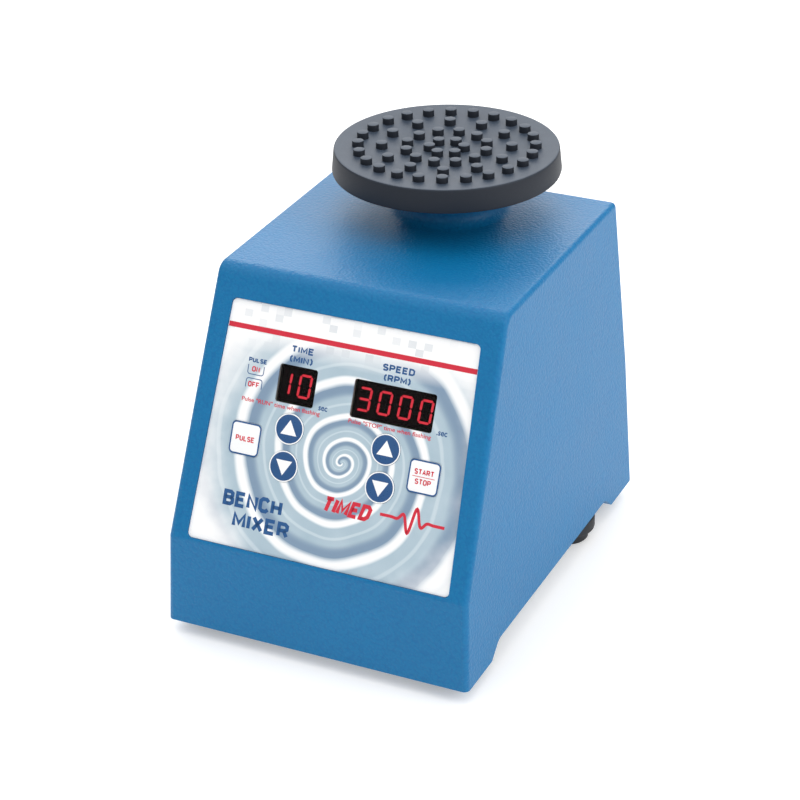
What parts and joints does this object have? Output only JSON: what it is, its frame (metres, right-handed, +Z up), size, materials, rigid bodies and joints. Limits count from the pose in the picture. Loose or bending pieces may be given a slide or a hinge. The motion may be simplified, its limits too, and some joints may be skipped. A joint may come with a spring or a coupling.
{
  "type": "vortex mixer",
  "caption": "Benchtop vortex mixer: sloped blue metal housing with a keypad and digital displays, and a round nubbed rubber platform driven in a small orbit.",
  "frame": {"origin": "centre of the whole model's box, on the plane that the rubber feet stand on", "axes": "+Z up, +Y from the control panel to the back, +X to the right seen from the front"},
  "size_m": [0.122, 0.1668, 0.161],
  "materials": {
    "blue_paint": "fine pebbled enamel, semi-gloss",
    "zinc_steel": "zinc-plated sheet",
    "screw_steel": "zinc-plated screws",
    "foot_rubber": "matt moulded rubber",
    "overlay_film": "satin polyester film with printed back",
    "spacer_film": "adhesive spacer sheet",
    "circuit_film": "printed polyester film",
    "dome_steel": "stainless snap domes",
    "sheet_aluminium": "mill-finish sheet",
    "key_blue": "embossed film, printed blue",
    "key_white": "embossed film, printed white",
    "red_filter": "dark red display filter",
    "led_black": "moulded LED display body",
    "board_green": "glass-epoxy circuit board",
    "standoff_brass": "turned brass",
    "grommet_rubber": "soft rubber",
    "lamination_steel": "stacked steel laminations",
    "winding_copper": "enamelled copper wire",
    "cast_aluminium": "die-cast",
    "bearing_steel": "ground bearing steel",
    "shaft_steel": "ground steel",
    "fan_plastic": "moulded nylon",
    "boot_rubber": "thin moulded rubber",
    "cover_rubber": "matt black moulded rubber",
    "plate_plastic": "moulded nylon",
    "sensor_plastic": "moulded sensor housing",
    "capacitor_plastic": "capacitor can",
    "heat_sink_black": "black anodised extrusion",
    "ribbon_grey": "flat cable insulation",
    "inlet_black": "moulded thermoplastic",
    "pin_brass": "nickel-plated brass",
    "fuse_glass": "clear glass tube",
    "rocker_red": "moulded rocker"
  },
  "bodies": {
    "housing": {"housing_shell": "blue_paint", "base_plate": "zinc_steel", "base_screws": "screw_steel", "rubber_feet": "foot_rubber", "foot_screws": "screw_steel", "panel_overlay": "overlay_film", "dome_spacer": "spacer_film", "keypad_circuit": "circuit_film", "panel_backplate": "sheet_aluminium", "key_domes": "dome_steel", "time_window": "red_filter", "speed_window": "red_filter", "time_display": "led_black", "speed_display": "led_black", "display_board": "board_green", "board_standoffs": "standoff_brass", "board_screws": "screw_steel", "motor_mount_plate": "zinc_steel", "mount_grommets": "grommet_rubber", "mount_screws": "screw_steel", "stator_stack": "lamination_steel", "stator_winding": "winding_copper", "upper_bracket": "cast_aluminium", "lower_bracket": "cast_aluminium", "upper_bearing": "bearing_steel", "lower_bearing": "bearing_steel", "motor_bolts": "screw_steel", "speed_sensor": "sensor_plastic", "power_board": "board_green", "power_board_standoffs": "standoff_brass", "power_board_screws": "screw_steel", "transformer": "lamination_steel", "motor_capacitor": "capacitor_plastic", "heat_sink": "heat_sink_black", "display_ribbon": "ribbon_grey", "power_inlet": "inlet_black", "inlet_pins": "pin_brass", "inlet_screws": "screw_steel", "switch_frame": "inlet_black"},
    "rotor": {"motor_shaft": "shaft_steel", "rotor_core": "lamination_steel", "cooling_fan": "fan_plastic", "speed_disc": "dome_steel", "eccentric": "shaft_steel", "crank_pin": "shaft_steel"},
    "head": {"crank_bearing": "bearing_steel", "drive_head": "cast_aluminium", "drive_boot": "boot_rubber"},
    "platform": {"platform_cover": "cover_rubber", "platform_plate": "plate_plastic"},
    "drawer": {"fuse_drawer": "inlet_black", "fuses": "fuse_glass"},
    "rocker": {"power_rocker": "rocker_red"},
    "key_pulse_cap": {"key_pulse": "key_white"},
    "key_start_stop_cap": {"key_start_stop": "key_white"},
    "key_time_up_cap": {"key_time_up": "key_blue"},
    "key_time_down_cap": {"key_time_down": "key_blue"},
    "key_speed_up_cap": {"key_speed_up": "key_blue"},
    "key_speed_down_cap": {"key_speed_down": "key_blue"}
  },
  "joints": [
    {"name": "motor_spin", "type": "hinge", "parent": "housing", "child": "rotor", "pos_m": [0, 0.0405, 0.1], "axis": [0, 0, 1], "continuous": true},
    {"name": "head_orbit", "type": "hinge", "parent": "rotor", "child": "head", "pos_m": [0, 0.0375, 0.142], "axis": [0, 0, 1], "continuous": true},
    {"name": "platform_lift", "type": "slide", "parent": "head", "child": "platform", "axis": [0, 0, 1], "range_m": [0, 0.02]},
    {"name": "fuse_drawer_slide", "type": "slide", "parent": "housing", "child": "drawer", "axis": [0, 0.9964, 0.0849], "range_m": [0, 0.018]},
    {"name": "mains_rocker", "type": "hinge", "parent": "housing", "child": "rocker", "pos_m": [-0.0165, 0.0782, 0.03115], "axis": [1, 0, 0], "range_deg": [0, 14]},
    {"name": "key_pulse_press", "type": "slide", "parent": "housing", "child": "key_pulse_cap", "axis": [0, 0.9095, -0.4158], "range_m": [0, 0.0003], "stiffness_N_per_m": 800, "springref_m": -0.0005},
    {"name": "key_start_stop_press", "type": "slide", "parent": "housing", "child": "key_start_stop_cap", "axis": [0, 0.9095, -0.4158], "range_m": [0, 0.0003], "stiffness_N_per_m": 800, "springref_m": -0.0005},
    {"name": "key_time_up_press", "type": "slide", "parent": "housing", "child": "key_time_up_cap", "axis": [0, 0.9095, -0.4158], "range_m": [0, 0.0003], "stiffness_N_per_m": 800, "springref_m": -0.0005},
    {"name": "key_time_down_press", "type": "slide", "parent": "housing", "child": "key_time_down_cap", "axis": [0, 0.9095, -0.4158], "range_m": [0, 0.0003], "stiffness_N_per_m": 800, "springref_m": -0.0005},
    {"name": "key_speed_up_press", "type": "slide", "parent": "housing", "child": "key_speed_up_cap", "axis": [0, 0.9095, -0.4158], "range_m": [0, 0.0003], "stiffness_N_per_m": 800, "springref_m": -0.0005},
    {"name": "key_speed_down_press", "type": "slide", "parent": "housing", "child": "key_speed_down_cap", "axis": [0, 0.9095, -0.4158], "range_m": [0, 0.0003], "stiffness_N_per_m": 800, "springref_m": -0.0005}
  ],
  "couplings": [
    {"joint": "head_orbit", "follows": "motor_spin", "ratio": -1}
  ]
}
